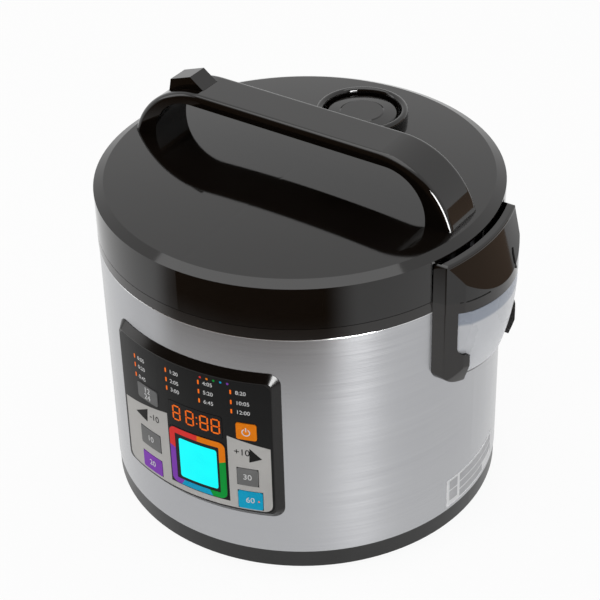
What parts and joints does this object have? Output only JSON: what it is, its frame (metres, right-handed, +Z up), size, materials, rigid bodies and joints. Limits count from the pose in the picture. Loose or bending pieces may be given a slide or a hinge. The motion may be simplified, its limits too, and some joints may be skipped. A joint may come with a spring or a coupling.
{
  "type": "electric multicooker",
  "caption": "Round table-top electric cooker with a steel body, side-hinged lid, arched handle with push-button latch, steam valve, condensate cup and curved key panel.",
  "frame": {"origin": "centre of the foot ring, on the axis of the round body, at the level the cooker stands on", "axes": "+Z up, control panel towards -Y, hinge and condensate cup towards +X, mains inlet towards +Y"},
  "size_m": [0.3005, 0.2852, 0.2878],
  "materials": {
    "black_plastic": "gloss",
    "grey_plastic": "satin",
    "rubber": "matt",
    "silicone": "satin",
    "brushed_steel": "brushed",
    "plain_steel": "plain",
    "pot_coating": "non-stick coated",
    "cast_aluminium": "cast",
    "panel_print": "printed film",
    "screen_glow": "lit window",
    "timer_glow": "lit window",
    "grey_key": "satin",
    "purple_key": "satin",
    "orange_key": "satin",
    "blue_key": "satin",
    "dark_plastic": "matt",
    "circuit_board": "matt",
    "brass_blades": "plated",
    "clear_cup": "translucent"
  },
  "bodies": {
    "base": {"base_pan": "black_plastic", "foot_ring": "rubber", "liner_posts": "plain_steel", "base_screws": "plain_steel", "outer_shell": "brushed_steel", "top_ring": "black_plastic", "inner_pot": "pot_coating", "inner_liner": "plain_steel", "heating_plate": "cast_aluminium", "heating_element": "plain_steel", "sensor_spring": "plain_steel", "panel_bezel": "black_plastic", "panel_film": "panel_print", "screen_lens": "screen_glow", "timer_lens": "timer_glow", "key_switches": "dark_plastic", "control_board": "circuit_board", "board_spacers": "grey_plastic", "mains_inlet": "black_plastic", "inlet_blades": "brass_blades", "power_board": "circuit_board", "hinge_block": "black_plastic", "hinge_pin": "plain_steel", "hinge_spring": "plain_steel", "cup_holder": "black_plastic", "holder_screws": "plain_steel"},
    "lid": {"lid_cover": "black_plastic", "lid_liner": "grey_plastic", "inner_lid_plate": "brushed_steel", "lid_gasket": "silicone", "plate_grommet": "rubber", "handle": "black_plastic", "handle_screws": "plain_steel", "valve_collar": "black_plastic", "steam_tube": "silicone", "hinge_arms": "plain_steel", "arm_screws": "plain_steel", "button_spring": "plain_steel", "latch_pin": "plain_steel"},
    "steam_cap": {"steam_valve": "black_plastic"},
    "lid_button": {"release_button": "black_plastic"},
    "latch": {"latch_lever": "grey_plastic"},
    "sensor": {"sensor_cap": "cast_aluminium"},
    "cup": {"condensate_cup": "clear_cup"},
    "key_upper_left": {"key_upper_left": "grey_key"},
    "key_middle_left": {"key_middle_left": "grey_key"},
    "key_lower_left": {"key_lower_left": "purple_key"},
    "key_power": {"key_power": "orange_key"},
    "key_middle_right": {"key_middle_right": "grey_key"},
    "key_lower_right": {"key_lower_right": "blue_key"}
  },
  "joints": [
    {"name": "lid_hinge", "type": "hinge", "parent": "base", "child": "lid", "pos_m": [0.1449, 0, 0.216], "axis": [0, 1, 0], "range_deg": [0, 85]},
    {"name": "button_press", "type": "slide", "parent": "lid", "child": "lid_button", "axis": [0, 0, -1], "range_m": [0, 0.0015], "stiffness_N_per_m": 800, "springref_m": -0.002},
    {"name": "latch_pivot", "type": "hinge", "parent": "lid", "child": "latch", "pos_m": [-0.1175, 0, 0.246], "axis": [0, 1, 0], "range_deg": [0, 5]},
    {"name": "valve_lift", "type": "slide", "parent": "lid", "child": "steam_cap", "axis": [0, 0, 1], "range_m": [0, 0.02]},
    {"name": "sensor_press", "type": "slide", "parent": "base", "child": "sensor", "axis": [0, 0, -1], "range_m": [0, 0.0025], "stiffness_N_per_m": 1200, "springref_m": -0.002},
    {"name": "cup_pull", "type": "slide", "parent": "base", "child": "cup", "axis": [1, 0, 0], "range_m": [0, 0.025]},
    {"name": "key_upper_left_press", "type": "slide", "parent": "base", "child": "key_upper_left", "axis": [0.2164, 0.9763, 0], "range_m": [0, 0.0006], "stiffness_N_per_m": 1500, "springref_m": -0.0005},
    {"name": "key_middle_left_press", "type": "slide", "parent": "base", "child": "key_middle_left", "axis": [0.2198, 0.9755, 0], "range_m": [0, 0.0006], "stiffness_N_per_m": 1500, "springref_m": -0.0005},
    {"name": "key_lower_left_press", "type": "slide", "parent": "base", "child": "key_lower_left", "axis": [0.2198, 0.9755, 0], "range_m": [0, 0.0006], "stiffness_N_per_m": 1500, "springref_m": -0.0005},
    {"name": "key_power_press", "type": "slide", "parent": "base", "child": "key_power", "axis": [-0.3239, 0.9461, 0], "range_m": [0, 0.0006], "stiffness_N_per_m": 1500, "springref_m": -0.0005},
    {"name": "key_middle_right_press", "type": "slide", "parent": "base", "child": "key_middle_right", "axis": [-0.3206, 0.9472, 0], "range_m": [0, 0.0006], "stiffness_N_per_m": 1500, "springref_m": -0.0005},
    {"name": "key_lower_right_press", "type": "slide", "parent": "base", "child": "key_lower_right", "axis": [-0.3289, 0.9444, 0], "range_m": [0, 0.0006], "stiffness_N_per_m": 1500, "springref_m": -0.0005}
  ],
  "couplings": [
    {"joint": "latch_pivot", "follows": "button_press", "rad_per_m": 58}
  ]
}
